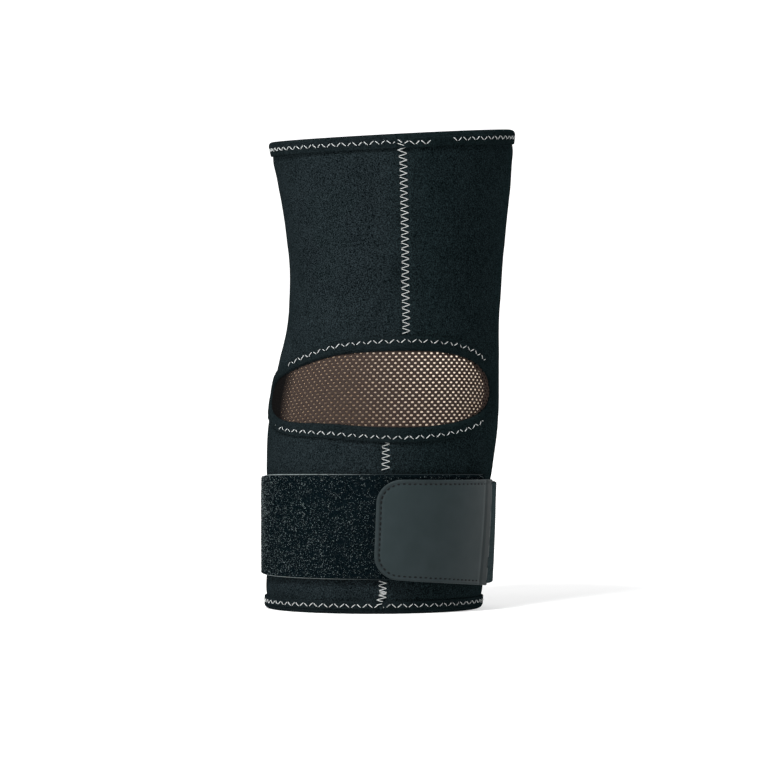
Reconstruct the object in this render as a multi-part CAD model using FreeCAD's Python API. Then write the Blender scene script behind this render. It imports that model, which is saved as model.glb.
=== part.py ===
import FreeCAD, Part
import math
import os

# Knee brace: a neoprene sleeve with a mesh window behind the knee and a wrap strap below it.
# Millimetres. +X is the wearer's right, +Y the front (kneecap side), +Z up the leg.

# Sleeve sections, bottom to top: height, half-width, half-depth, centre x, centre y.
SECTIONS = [
    (-4.0, 58.3, 55.0, -8.2, -1.3),
    (20.0, 59.4, 56.0, -7.1, -1.5),
    (46.0, 60.6, 57.0, -6.0, -1.8),
    (74.0, 61.6, 58.2, -4.8, -1.0),
    (100.0, 62.9, 59.0, -2.7, 1.0),
    (126.0, 61.3, 58.6, -0.4, 2.2),
    (152.0, 58.3, 57.0, 2.6, 1.6),
    (179.0, 57.8, 57.0, 4.2, 1.5),
    (205.0, 60.0, 59.0, 4.2, 1.5),
    (231.0, 63.5, 61.8, 3.4, 1.5),
    (266.0, 68.0, 65.0, 0.7, 1.5),
]
NEOPRENE = 3.5           # sheet thickness
TOP_Z = 256.5            # rim height at the leg's axis
TOP_SLOPE_X = 0.052      # the rim rises towards +X
TOP_SLOPE_Y = 0.0194     # and a little towards the front
GAP = 0.3                # between pieces that move against each other
LAYER_GAP = 0.05         # between layers sewn or glued together

# Knee hinge, along X, and the bending zone around it.
KNEE_Y = -15.0
KNEE_Z = 118.0
THIGH_CUT_DEG = 50.0     # rise of the thigh panel's lower edge, backwards from the hinge
CALF_CUT_DEG = 43.0      # fall of the calf panel's upper edge
FRONT_HALF_ZONE = 4.0    # half-height of the bending zone in front of the hinge

# Bindings and thread.
BINDING = 0.9
HEM_HEIGHT = 7.8
HEM_GAP = 0.25           # between the sheet and the hem folded over it
THREAD_R = 0.25
THREAD_LIFT = 0.1        # thread above the cloth it holds
STITCH_FROM_EDGE = 4.4
STITCH_PITCH = 6.1
STITCH_HALF_SWING = 1.3
SEAM_PITCH = 3.5
SEAM_HALF_SWING = 2.4

# Window behind the knee: angles round the leg, zero at the back and positive towards +X.
WINDOW_MID_DEG = 10.0        # where it is tallest
WINDOW_REACH = (98.0, 55.5)  # degrees from there to its -X and +X ends
WINDOW_POWER = (1.8, 2.1)    # squareness of each end
WINDOW_Z = 120.2
WINDOW_DROP = (4.6, 1.9)     # how much lower each end is
WINDOW_HALF_H = 20.6
WINDOW_BINDING_W = 8.0
MESH_IN = -1.6
MESH_OUT = -1.0

# Strap: the loop-faced band, the elastic arm and the tab that closes over the band.
BAND_FROM, BAND_TO = -172.0, 62.6
BAND_CORE = 1.7
BAND_FACE = 2.6
ELASTIC_FROM, ELASTIC_TO = 64.0, 140.0
ELASTIC_OUT = 2.5
ELASTIC_Z = (14.2, 68.8)
ROOT_FROM, ROOT_TO = 141.2, 166.0
TAB_FROM, TAB_TO = -0.7, 66.0
TAB_HOOK = BAND_FACE + GAP
TAB_CORE = TAB_HOOK + 0.8
TAB_COVER = TAB_CORE + 1.0
TAB_OUT = TAB_COVER + 0.8
TAB_CORNER = 12.5
TAB_STITCH_IN = 2.4

# Kneecap ring.
RING_Z = 120.0
RING_OUTER = (36.0, 40.0)    # half-angle in degrees, half-height
RING_INNER = (23.0, 26.0)
RING_THICK = 3.0

# Moves everything so that the origin is under the middle of the whole brace.
CENTRE_X, CENTRE_Y = 0.4, 1.0


def spline_slopes(zs, values):
    """Slopes of a smooth curve through the values, by averaging the chords on each side."""
    chords = [(v1 - v0) / (z1 - z0) for z0, z1, v0, v1 in zip(zs, zs[1:], values, values[1:])]
    inner = [(c0 + c1) / 2 for c0, c1 in zip(chords, chords[1:])]
    return [chords[0]] + inner + [chords[-1]]


def section_at(z):
    """Half-width, half-depth and centre of the sleeve's outside at a height."""
    zs = [s[0] for s in SECTIONS]
    i = max(k for k in range(len(zs) - 1) if zs[k] <= z or k == 0)
    span = zs[i + 1] - zs[i]
    u = (z - zs[i]) / span
    found = []
    for column in range(1, 5):
        values = [s[column] for s in SECTIONS]
        slopes = spline_slopes(zs, values)
        h00 = 2 * u**3 - 3 * u**2 + 1
        h10 = u**3 - 2 * u**2 + u
        h01 = -2 * u**3 + 3 * u**2
        h11 = u**3 - u**2
        found.append(
            h00 * values[i] + h10 * span * slopes[i] + h01 * values[i + 1] + h11 * span * slopes[i + 1]
        )
    return found


def point(deg, z, out=0.0):
    """The point at an angle round the leg and a height, `out` mm off the sleeve's outside."""
    a, b, cx, cy = section_at(z)
    t = math.radians(deg)
    return FreeCAD.Vector(cx + (a + out) * math.sin(t), cy - (b + out) * math.cos(t), z)


def ellipse_wire(z, a, b, cx, cy):
    curve = Part.Ellipse(FreeCAD.Vector(cx, cy, z), a, b)
    return Part.Wire([curve.toShape()])


def full_solid(out, cache={}):
    """The whole leg-shaped solid, `out` mm bigger than the sleeve's outside."""
    if out not in cache:
        steps = 19
        low, high = SECTIONS[0][0], SECTIONS[-1][0]
        heights = [low + (high - low) * k / steps for k in range(steps + 1)]
        wires = []
        for z in heights:
            a, b, cx, cy = section_at(z)
            wires.append(ellipse_wire(z, a + out, b + out, cx, cy))
        cache[out] = Part.makeLoft(wires, True, False)
    return cache[out]


def layer(inner, outer, block):
    """The part of a block that lies between two offsets from the sleeve's outside."""
    return full_solid(outer).common(block).cut(full_solid(inner))


def rim_height(x, y):
    return TOP_Z + TOP_SLOPE_X * (x - 2.0) + TOP_SLOPE_Y * y


def slab(bottom, top):
    """Everything between two levels; "rim" levels follow the sloping top rim."""

    def corners(level):
        ends = [(-120.0, -120.0), (120.0, -120.0), (120.0, 120.0), (-120.0, 120.0)]
        if level[0] == "rim":
            return [FreeCAD.Vector(x, y, rim_height(x, y) + level[1]) for x, y in ends]
        return [FreeCAD.Vector(x, y, level[1]) for x, y in ends]

    wires = [Part.makePolygon(c + [c[0]]) for c in (corners(bottom), corners(top))]
    return Part.makeLoft(wires, True, True)


def side_prism(outline):
    """A (y, z) outline run right across the leg along X."""
    points = [FreeCAD.Vector(-120.0, y, z) for y, z in outline]
    face = Part.Face(Part.makePolygon(points + [points[0]]))
    return face.extrude(FreeCAD.Vector(240.0, 0, 0))


def zone_outline(sign, degrees, grow):
    """The side outline of the thigh (+1) or calf (-1) region, grown by `grow` mm."""
    slope = math.tan(math.radians(degrees))
    front = FRONT_HALF_ZONE - grow
    lift = grow / math.cos(math.radians(degrees))
    bend_y = KNEE_Y - (front + lift) / slope
    back_rise = (120.0 + KNEE_Y) * slope - lift
    far = 200.0
    rows = [(120.0, front), (bend_y, front), (-120.0, back_rise), (-120.0, far), (120.0, far)]
    return [(y, KNEE_Z + sign * z) for y, z in rows]


def thigh_zone(grow=0.0):
    return side_prism(zone_outline(1, THIGH_CUT_DEG, grow))


def calf_zone(grow=0.0):
    return side_prism(zone_outline(-1, CALF_CUT_DEG, grow))


def radial_block(stations, inner=-14.0, outer=12.0):
    """A block through the sleeve wall: (angle, low z, high z) stations joined smoothly."""
    wires = []
    for deg, low, high in stations:
        middle = (low + high) / 2
        near = point(deg, middle, inner)
        far = point(deg, middle, outer)
        corners = [(near, low), (far, low), (far, high), (near, high)]
        points = [FreeCAD.Vector(p.x, p.y, z) for p, z in corners]
        wires.append(Part.makePolygon(points + [points[0]]))
    return Part.makeLoft(wires, True, False)


def band_block(start, end, low_of, high_of, step=8.0):
    """A block between two angles with its lower and upper edges given as functions."""
    count = max(2, int(math.ceil((end - start) / step)))
    stations = []
    for k in range(count + 1):
        deg = start + (end - start) * k / count
        stations.append((deg, low_of(deg), high_of(deg)))
    return radial_block(stations)


def mm_per_deg(deg, z):
    a = point(deg - 1.0, z)
    b = point(deg + 1.0, z)
    return a.distanceToPoint(b) / 2.0


def window_middle(deg):
    """Height of the window's centre line, which drops towards both ends."""
    left = min(1.0, max(0.0, (-20.0 - deg) / 50.0))
    right = min(1.0, max(0.0, (deg - 30.0) / 35.0))
    return WINDOW_Z - WINDOW_DROP[0] * left**2 * (3.0 - 2.0 * left) - WINDOW_DROP[1] * right**2


def window_edge(turn, grow=0.0):
    """A point (angle, z) on the window's oval, `turn` from 0 to 1 round it, grown by `grow` mm."""
    w = 2.0 * math.pi * turn
    side = 1 if math.cos(w) >= 0.0 else 0
    power = 2.0 / WINDOW_POWER[side]
    across = math.copysign(abs(math.cos(w)) ** power, math.cos(w))
    up = math.copysign(abs(math.sin(w)) ** power, math.sin(w))
    reach = WINDOW_REACH[side] + grow / mm_per_deg(WINDOW_MID_DEG, WINDOW_Z)
    deg = WINDOW_MID_DEG + reach * across
    return deg, window_middle(deg) + (WINDOW_HALF_H + grow) * up


def window_block(grow, inner=-14.0, outer=12.0):
    stations = []
    count = 26
    for k in range(count + 1):
        turn = 0.5 - 0.5 * (0.03 + 0.94 * k / count)
        deg, high = window_edge(turn, grow)
        stations.append((deg, 2 * window_middle(deg) - high, high))
    return radial_block(stations, inner, outer)


def ring_block(half_deg, half_height):
    """An oval block at the front, for the kneecap ring."""
    stations = []
    count = 16
    for k in range(count + 1):
        w = math.pi * (0.03 + 0.94 * k / count)
        height = half_height * math.sin(w)
        stations.append((180.0 - half_deg * math.cos(w), RING_Z - height, RING_Z + height))
    return radial_block(stations)


def band_low(deg):
    return 18.5


def band_high(deg):
    return 71.0 + 4.0 * math.sqrt(max(0.0, math.cos(math.radians(deg))))


def tab_low(deg):
    return 19.3 - 5.7 * (deg - TAB_FROM) / (TAB_TO - TAB_FROM)


def tab_high(deg):
    return 72.4 - 1.4 * (deg - TAB_FROM) / (TAB_TO - TAB_FROM)


def tab_block(inset, end):
    """The tab's outline, set in by `inset` mm, with its two free corners rounded."""
    per_deg = mm_per_deg(0.0, 45.0)
    radius = TAB_CORNER - inset
    start = TAB_FROM + inset / per_deg
    curve_degrees = radius / per_deg
    degrees = [start + curve_degrees * (1 - math.cos(math.pi / 2 * k / 8)) for k in range(9)]
    degrees[0] += 0.02
    straight = start + curve_degrees
    degrees += [straight + (end - straight) * k / 8 for k in range(1, 9)]
    stations = []
    for deg in degrees:
        run = min(1.0, (deg - start) / curve_degrees)
        rounding = radius * (1 - math.sqrt(1 - (1 - run) ** 2))
        stations.append((deg, tab_low(deg) + inset + rounding, tab_high(deg) - inset - rounding))
    return radial_block(stations)


def thread(start, end, trim=0.16):
    """One straight piece of thread between two points, trimmed a little at each end."""
    run = end.sub(start)
    length = run.Length
    if length < 0.4:
        return None
    run.normalize()
    begin = start.add(FreeCAD.Vector(run).multiply(length * trim / 2))
    return Part.makeCylinder(THREAD_R, length * (1 - trim), begin, run)


def threads(points, trim=0.16):
    pieces = [thread(p, q, trim) for p, q in zip(points, points[1:])]
    return Part.makeCompound([p for p in pieces if p])


def hem_stitching(height_at, out):
    """Zigzag right round the leg, along a line given as height_at(deg)."""
    around = 2 * math.pi * (section_at(height_at(0.0))[0] + out)
    legs = 2 * int(round(around / STITCH_PITCH))
    points = []
    for k in range(legs + 1):
        deg = -180.0 + 360.0 * k / legs
        swing = STITCH_HALF_SWING if k % 2 else -STITCH_HALF_SWING
        points.append(point(deg, height_at(deg) + swing, out))
    return threads(points)


def seam_x(z):
    """Where the back seam runs, as an angle."""
    x = 8.7 if z > WINDOW_Z else -1.6 - 0.03 * (74.0 - min(z, 74.0))
    a, b, cx, cy = section_at(z)
    return math.degrees(math.asin((x - cx) / a))


def seam_stitching(runs):
    groups = []
    for low, high in runs:
        legs = 2 * int(round((high - low) / SEAM_PITCH))
        points = []
        for k in range(legs + 1):
            z = low + (high - low) * k / legs
            side = 1 if k % 2 else -1
            deg = seam_x(z) + side * SEAM_HALF_SWING / mm_per_deg(0.0, z)
            points.append(point(deg, z, THREAD_R + THREAD_LIFT))
        groups.extend(threads(points).Solids)
    return Part.makeCompound(groups)


def evenly(points, pitch):
    """Points at even spacing along a polyline of (angle, z, out) rows."""
    places = [point(*row) for row in points]
    lengths = [0.0]
    for p, q in zip(places, places[1:]):
        lengths.append(lengths[-1] + p.distanceToPoint(q))
    count = 2 * int(round(lengths[-1] / pitch / 2))
    found = []
    i = 0
    for k in range(count + 1):
        want = lengths[-1] * k / count
        while i < len(lengths) - 2 and lengths[i + 1] < want:
            i += 1
        u = (want - lengths[i]) / (lengths[i + 1] - lengths[i])
        found.append(tuple(v0 + (v1 - v0) * u for v0, v1 in zip(points[i], points[i + 1])))
    return found


def window_stitching():
    out = BINDING + LAYER_GAP + THREAD_R + THREAD_LIFT
    rows = [window_edge(k / 240.0, 5.3) + (out,) for k in range(241)]
    rows = evenly(rows, STITCH_PITCH / 2)
    points = []
    count = len(rows) - 1
    for k, (deg, z, out) in enumerate(rows):
        before = rows[(k - 1) % count]
        after = rows[(k + 1) % count]
        scale = mm_per_deg(deg, z)
        along_x = (after[0] - before[0]) * scale
        along_z = after[1] - before[1]
        length = math.hypot(along_x, along_z)
        swing = STITCH_HALF_SWING * (1 if k % 2 else -1)
        points.append(
            point(deg + swing * along_z / length / scale, z - swing * along_x / length, out)
        )
    return threads(points)


def tab_stitch_rows():
    """The dashed line just inside the tab's edge, as (angle, z, out) rows."""
    out = TAB_OUT + THREAD_R * 0.8
    per_deg = mm_per_deg(0.0, 45.0)
    inset = TAB_STITCH_IN
    radius = TAB_CORNER - inset
    start = TAB_FROM + inset / per_deg
    end = TAB_TO - 1.0
    curve = radius / per_deg
    upper = []
    for k in range(13):
        w = math.pi / 2 * k / 12
        deg = start + curve * (1 - math.cos(w))
        upper.append((deg, radius * (1 - math.sin(w))))
    upper += [(start + curve + (end - start - curve) * k / 10, 0.0) for k in range(1, 11)]
    high = [(deg, tab_high(deg) - inset - drop, out) for deg, drop in upper]
    low = [(deg, tab_low(deg) + inset + drop, out) for deg, drop in upper]
    return high[::-1] + low


def tab_stitching():
    rows = evenly(tab_stitch_rows(), 1.4)
    points = [point(*row) for row in rows]
    dashes = [thread(p, q, 0.0) for p, q in zip(points[::2], points[1::2])]
    return Part.makeCompound([d for d in dashes if d])


def box_stitching(start, end, low, high, out):
    """A sewn rectangle of dashes that holds down the end of a strap."""
    rows = [(start, low, out), (end, low, out), (end, high, out), (start, high, out), (start, low, out)]
    fine = []
    for r0, r1 in zip(rows, rows[1:]):
        fine += [tuple(v0 + (v1 - v0) * k / 12 for v0, v1 in zip(r0, r1)) for k in range(12)]
    fine.append(rows[-1])
    points = [point(*row) for row in evenly(fine, 1.7)]
    dashes = [thread(p, q, 0.1) for p, q in zip(points[::2], points[1::2])]
    return Part.makeCompound([d for d in dashes if d])


def sleeve_wall():
    wall = layer(-NEOPRENE, 0.0, slab(("level", BINDING), ("rim", 0.0)))
    return wall.cut(window_block(BINDING + LAYER_GAP))


def thigh_panel():
    return sleeve_wall().common(thigh_zone())


def knee_panel():
    return sleeve_wall().cut(thigh_zone(GAP)).cut(calf_zone(GAP))


def calf_panel():
    return sleeve_wall().common(calf_zone())


def rim_at(deg, out=0.0):
    """Height of the top rim at an angle round the leg, `out` mm off the sleeve's outside."""
    z = TOP_Z
    for _ in range(4):
        p = point(deg, z, out)
        z = rim_height(p.x, p.y)
    return z


def ring_between(ring, following, level):
    """The faces between two closed curves; flat if both lie on one level."""
    if level:
        small, big = sorted((Part.Wire(ring), Part.Wire(following)), key=lambda wire: wire.Length)
        return Part.Face(big).cut(Part.Face(small)).Faces
    return Part.makeRuledSurface(ring, following).Faces


def hem_binding(edge_at, up):
    """A folded strip over an edge of the sheet: outside, over the rim and inside.

    edge_at(deg, out) is the height of the sheet's edge, and `up` is +1 for the top edge.
    """
    outside, inside = BINDING + LAYER_GAP, -NEOPRENE - LAYER_GAP - BINDING
    near, far = HEM_GAP, -NEOPRENE - HEM_GAP
    strip = HEM_HEIGHT - (0.0 if up > 0 else BINDING)
    section = [
        (outside, -strip), (outside, BINDING), (inside, BINDING), (inside, -strip),
        (far, -strip), (far, HEM_GAP), (near, HEM_GAP), (near, -strip),
    ]
    rings = []
    for out, height in section:
        stops = [-180.0 + 360.0 * k / 48 for k in range(48)]
        curve = Part.BSplineCurve()
        places = [point(deg, edge_at(deg, out) + up * height, out) for deg in stops]
        curve.interpolate(Points=places, PeriodicFlag=True)
        rings.append(curve.toShape())
    faces = []
    for k in range(len(section)):
        following = (k + 1) % len(section)
        level = up < 0 and section[k][1] == section[following][1]
        faces += ring_between(rings[k], rings[following], level)
    skin = Part.makeShell(faces)
    skin.sewShape()
    solid = Part.makeSolid(skin)
    if solid.Volume < 0:
        solid.reverse()
    return solid


def thigh_hem_binding():
    return hem_binding(rim_at, 1)


def calf_hem_binding():
    return hem_binding(lambda deg, out: BINDING, -1)


def window_binding():
    flange = layer(LAYER_GAP, BINDING + LAYER_GAP, window_block(WINDOW_BINDING_W))
    lip = layer(-NEOPRENE, LAYER_GAP, window_block(BINDING))
    return flange.fuse(lip).cut(window_block(0.0)).removeSplitter()


def popliteal_mesh():
    return layer(MESH_IN, MESH_OUT, window_block(-LAYER_GAP))


def band_layer(inner, outer):
    return layer(inner, outer, band_block(BAND_FROM, BAND_TO, band_low, band_high))


def elastic():
    low, high = ELASTIC_Z
    block = band_block(ELASTIC_FROM, ELASTIC_TO, lambda deg: low, lambda deg: high)
    return layer(GAP, ELASTIC_OUT, block)


def strap_root():
    low, high = ELASTIC_Z
    block = band_block(ROOT_FROM, ROOT_TO, lambda deg: low, lambda deg: high)
    return layer(LAYER_GAP, ELASTIC_OUT, block)


def tab_layer(inner, outer, inset, end):
    return layer(inner, outer, tab_block(inset, end))


def kneecap_ring():
    block = ring_block(*RING_OUTER).cut(ring_block(*RING_INNER))
    return layer(LAYER_GAP, RING_THICK, block)


def kneecap_stitching():
    out = RING_THICK + THREAD_R * 0.8
    half_deg, half_height = RING_OUTER[0] - 2.5, RING_OUTER[1] - 2.5
    rows = []
    for k in range(121):
        w = 2 * math.pi * k / 120
        rows.append((180.0 - half_deg * math.cos(w), RING_Z + half_height * math.sin(w), out))
    points = [point(*row) for row in evenly(rows, 1.7)]
    dashes = [thread(p, q, 0.1) for p, q in zip(points[::2], points[1::2])]
    return Part.makeCompound([d for d in dashes if d])


def top_stitch_height(deg):
    return rim_at(deg) + BINDING - STITCH_FROM_EDGE


def pieces():
    """Every named piece of the brace."""
    hem_out = BINDING + LAYER_GAP + THREAD_R + THREAD_LIFT
    seam_top = rim_height(8.7, -62.0) - HEM_HEIGHT - 1.5
    band_out = BAND_FACE + THREAD_R * 0.8
    return {
        "thigh_panel": thigh_panel(),
        "knee_panel": knee_panel(),
        "calf_panel": calf_panel(),
        "thigh_hem_binding": thigh_hem_binding(),
        "calf_hem_binding": calf_hem_binding(),
        "window_binding": window_binding(),
        "popliteal_mesh": popliteal_mesh(),
        "thigh_hem_stitching": hem_stitching(top_stitch_height, hem_out),
        "calf_hem_stitching": hem_stitching(lambda deg: STITCH_FROM_EDGE, hem_out),
        "window_stitching": window_stitching(),
        "thigh_seam_stitching": seam_stitching([(170.0, seam_top)]),
        "knee_seam_stitching": seam_stitching([(149.5, 168.0), (78.5, 91.0)]),
        "calf_seam_stitching": seam_stitching([(9.5, 18.0)]),
        "kneecap_ring": kneecap_ring(),
        "kneecap_ring_stitching": kneecap_stitching(),
        "loop_band_core": band_layer(LAYER_GAP, BAND_CORE),
        "loop_band_face": band_layer(BAND_CORE + LAYER_GAP, BAND_FACE),
        "loop_band_stitching": box_stitching(-170.0, -150.0, 23.0, 69.0, band_out),
        "strap_elastic": elastic(),
        "strap_root": strap_root(),
        "strap_root_stitching": box_stitching(143.5, 164.0, 18.0, 65.0, ELASTIC_OUT + THREAD_R * 0.8),
        "tab_hook_patch": tab_layer(TAB_HOOK, TAB_CORE - LAYER_GAP, 4.5, 52.0),
        "tab_core": tab_layer(TAB_CORE, TAB_COVER - LAYER_GAP, 1.0, TAB_TO),
        "tab_cover": tab_layer(TAB_COVER, TAB_OUT, 0.0, TAB_TO),
        "tab_stitching": tab_stitching(),
    }


def hinge_lines():
    """The two strap hinge lines, from bottom to top, at the outer corner of each moving end."""
    return {
        "strap_arm": [point(ELASTIC_TO, z, ELASTIC_OUT) for z in ELASTIC_Z],
        "strap_tab": [point(TAB_TO, z, TAB_OUT) for z in (tab_low(TAB_TO), tab_high(TAB_TO))],
    }


os.makedirs("parts", exist_ok=True)
whole = FreeCAD.BoundBox()
move = FreeCAD.Vector(-CENTRE_X, -CENTRE_Y, 0.0)
for name, shape in pieces().items():
    shape.translate(move)
    for corner in shape.tessellate(0.3)[0]:
        whole.add(corner)
    good = shape.isValid() and all(s.isClosed() for s in shape.Solids)
    print(name, len(shape.Solids), "solids", round(shape.Volume, 1), "mm3", "ok" if good else "BAD")
    shape.exportStep("parts/" + name + ".step")
print("box", whole)
for name, line in hinge_lines().items():
    print(name, [tuple(round(c, 3) for c in p.add(move)) for p in line])
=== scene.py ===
import math

import bmesh
import bpy
import numpy as np
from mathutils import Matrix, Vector

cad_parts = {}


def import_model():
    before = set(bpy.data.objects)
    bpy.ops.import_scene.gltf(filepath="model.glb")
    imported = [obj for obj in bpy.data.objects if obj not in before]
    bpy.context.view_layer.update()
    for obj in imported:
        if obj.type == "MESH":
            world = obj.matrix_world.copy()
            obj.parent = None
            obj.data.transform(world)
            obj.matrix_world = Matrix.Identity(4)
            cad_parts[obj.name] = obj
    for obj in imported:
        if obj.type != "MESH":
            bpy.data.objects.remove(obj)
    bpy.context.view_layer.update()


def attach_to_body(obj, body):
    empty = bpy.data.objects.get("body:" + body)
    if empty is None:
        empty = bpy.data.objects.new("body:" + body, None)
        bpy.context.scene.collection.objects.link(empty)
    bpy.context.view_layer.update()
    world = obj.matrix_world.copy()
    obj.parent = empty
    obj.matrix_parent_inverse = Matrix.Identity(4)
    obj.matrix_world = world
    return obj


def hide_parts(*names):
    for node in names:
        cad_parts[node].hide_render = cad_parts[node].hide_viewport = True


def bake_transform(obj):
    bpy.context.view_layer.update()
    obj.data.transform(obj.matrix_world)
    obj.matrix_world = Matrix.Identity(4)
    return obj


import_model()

# Sleeve sections in millimetres, bottom to top: height, half-width, half-depth, centre x, centre y.
SECTIONS = np.array([
    (-4.0, 58.3, 55.0, -8.2, -1.3),
    (20.0, 59.4, 56.0, -7.1, -1.5),
    (46.0, 60.6, 57.0, -6.0, -1.8),
    (74.0, 61.6, 58.2, -4.8, -1.0),
    (100.0, 62.9, 59.0, -2.7, 1.0),
    (126.0, 61.3, 58.6, -0.4, 2.2),
    (152.0, 58.3, 57.0, 2.6, 1.6),
    (179.0, 57.8, 57.0, 4.2, 1.5),
    (205.0, 60.0, 59.0, 4.2, 1.5),
    (231.0, 63.5, 61.8, 3.4, 1.5),
    (266.0, 68.0, 65.0, 0.7, 1.5),
])
CENTRE = np.array([0.4, 1.0, 0.0])
NEOPRENE = 3.5
TOP_Z, TOP_SLOPE_X, TOP_SLOPE_Y = 256.5, 0.052, 0.0194
BINDING = 0.9
HEM_HEIGHT = 7.0
STITCH_FROM_EDGE, STITCH_PITCH, STITCH_SWING = 4.4, 6.1, 1.3
SEAM_PITCH, SEAM_SHORT_PITCH, SEAM_SWING, SEAM_SUNK = 3.54, 3.0, 2.6, 0.5
WINDOW_MID, WINDOW_REACH, WINDOW_POWER = 10.0, (98.0, 55.5), (1.8, 2.1)
WINDOW_Z, WINDOW_DROP, WINDOW_HALF_H = 120.2, (4.6, 1.9), 20.6
WINDOW_STITCH = 5.3
BAND_FROM, BAND_TO, BAND_CORE, BAND_FACE = -172.0, 62.6, 1.7, 2.6
ELASTIC_FROM, ELASTIC_TO, ELASTIC_IN, ELASTIC_OUT = 64.0, 140.0, 0.3, 2.5
ELASTIC_Z = (14.2, 68.8)
ROOT_FROM, ROOT_TO = 141.2, 166.0
TAB_FROM, TAB_TO, TAB_CORNER = -0.7, 66.0, 12.5
TAB_HOOK, TAB_CORE, TAB_COVER, TAB_OUT = 2.9, 3.7, 4.7, 5.5
TAB_STITCH_IN, TAB_FOLD = 2.4, 6.0
RING_Z, RING_OUTER, RING_INNER, RING_THICK = 120.0, (36.0, 40.0), (23.0, 26.0), 3.0
RING_SEAM, DASH_PITCH = 0.18, 1.7
LIGHT_AIM = (0.0, 0.0, 0.13)

UV_PER_DEG = 1.08        # millimetres of cloth per degree in the UV map
DIMPLE, DIMPLE_R = 0.42, 1.0

rng = np.random.default_rng(7)


# ---- where things are

def section_at(z):
    """Half-width, half-depth, centre x and centre y of the sleeve's outside at each height."""
    z = np.asarray(z, float)
    zs = SECTIONS[:, 0]
    i = np.clip(np.searchsorted(zs, z, "right") - 1, 0, len(zs) - 2)
    span = zs[i + 1] - zs[i]
    u = (z - zs[i]) / span
    chords = np.diff(SECTIONS[:, 1:], axis=0) / np.diff(zs)[:, None]
    slopes = np.vstack([chords[:1], (chords[:-1] + chords[1:]) / 2, chords[-1:]])
    u, span = u[..., None], span[..., None]
    v0, v1 = SECTIONS[i, 1:], SECTIONS[i + 1, 1:]
    found = (2 * u**3 - 3 * u**2 + 1) * v0 + (u**3 - 2 * u**2 + u) * span * slopes[i]
    found = found + (3 * u**2 - 2 * u**3) * v1 + (u**3 - u**2) * span * slopes[i + 1]
    return np.moveaxis(found, -1, 0)


def place_mm(deg, z, out):
    """Points at angles round the leg and heights, `out` mm off the sleeve's outside."""
    deg, z, out = np.broadcast_arrays(np.asarray(deg, float), np.asarray(z, float), out)
    a, b, cx, cy = section_at(z)
    t = np.radians(deg)
    x = cx + (a + out) * np.sin(t)
    y = cy - (b + out) * np.cos(t)
    return np.stack([x, y, z], -1)


def place(deg, z, out):
    """The same in metres, in the shared frame."""
    return (place_mm(deg, z, out) - CENTRE) / 1000.0


def mm_per_deg(deg, z):
    """Millimetres round the sleeve's outside in one degree."""
    return np.linalg.norm(place_mm(deg + 1.0, z, 0.0) - place_mm(deg - 1.0, z, 0.0), axis=-1) / 2


def rim_z(deg):
    """Height of the sloping top rim at each angle."""
    z = np.full_like(np.asarray(deg, float), TOP_Z)
    for _ in range(4):
        p = place_mm(deg, z, 0.0)
        z = TOP_Z + TOP_SLOPE_X * (p[..., 0] - 2.0) + TOP_SLOPE_Y * p[..., 1]
    return z


def window_middle(deg):
    """Height of the window's centre line, which drops towards both ends."""
    left = np.clip((-20.0 - deg) / 50.0, 0.0, 1.0)
    right = np.clip((deg - 30.0) / 35.0, 0.0, 1.0)
    return WINDOW_Z - WINDOW_DROP[0] * left**2 * (3.0 - 2.0 * left) - WINDOW_DROP[1] * right**2


def window_side(right, grow):
    """The reach in degrees and the power of the window's oval on each place's side."""
    reach = np.where(right, WINDOW_REACH[1], WINDOW_REACH[0])
    reach = reach + grow / mm_per_deg(WINDOW_MID, WINDOW_Z)
    return reach, np.where(right, WINDOW_POWER[1], WINDOW_POWER[0])


def window_edge(turn, grow):
    """Angle and height on the window's oval, `grow` mm outside the mesh's edge."""
    w = 2 * np.pi * np.asarray(turn, float)
    reach, power = window_side(np.cos(w) >= 0.0, grow)
    across = np.sign(np.cos(w)) * np.abs(np.cos(w)) ** (2.0 / power)
    up = np.sign(np.sin(w)) * np.abs(np.sin(w)) ** (2.0 / power)
    deg = WINDOW_MID + reach * across
    return deg, window_middle(deg) + (WINDOW_HALF_H + grow) * up


def window_inside(deg, z, grow):
    """Below 1 inside the window's oval grown by `grow` mm, 1 on it."""
    reach, power = window_side(deg >= WINDOW_MID, grow)
    across = (deg - WINDOW_MID) / reach
    up = (z - window_middle(deg)) / (WINDOW_HALF_H + grow)
    return np.abs(across) ** power + np.abs(up) ** power


def seam_deg(z):
    """Angle of the back seam at each height."""
    z = np.asarray(z, float)
    lean = 0.6 - 1.9 * np.clip((z - 145.0) / 105.0, 0.0, 1.0) ** 1.5
    x = np.where(z > WINDOW_Z, 8.7 + lean, -1.6 - 0.03 * (74.0 - np.minimum(z, 74.0)))
    a, b, cx, cy = section_at(z)
    return np.degrees(np.arcsin((x - cx) / a))


def band_low(deg):
    """Height of the loop band's lower edge at each angle."""
    return np.full_like(np.asarray(deg, float), 18.5)


def band_high(deg):
    """Height of its upper edge, which rises towards the back."""
    return 71.0 + 4.0 * np.sqrt(np.maximum(0.0, np.cos(np.radians(deg))))


def tab_low(deg):
    """Height of the tab's lower edge at each angle."""
    return 19.3 - 5.7 * (deg - TAB_FROM) / (TAB_TO - TAB_FROM)


def tab_high(deg):
    """Height of the tab's upper edge at each angle."""
    return 72.4 - 1.4 * (deg - TAB_FROM) / (TAB_TO - TAB_FROM)


def wander(deg, z, seed, size):
    """A slow, smooth unevenness between about -1 and 1, the same on every run."""
    t = np.radians(deg)
    total = 0.0
    for k in range(1, 5):
        phase = seed * 1.7 + k * 2.3
        total = total + np.sin(k * 2 * t + z / size * k + phase) * np.cos(z / size * 1.3 * k - phase) / k
    return total / 1.6


def cloth_uv(deg, z):
    """UV coordinates in metres along the cloth."""
    return np.stack([deg * UV_PER_DEG, z], -1) / 1000.0


# ---- building meshes

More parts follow.
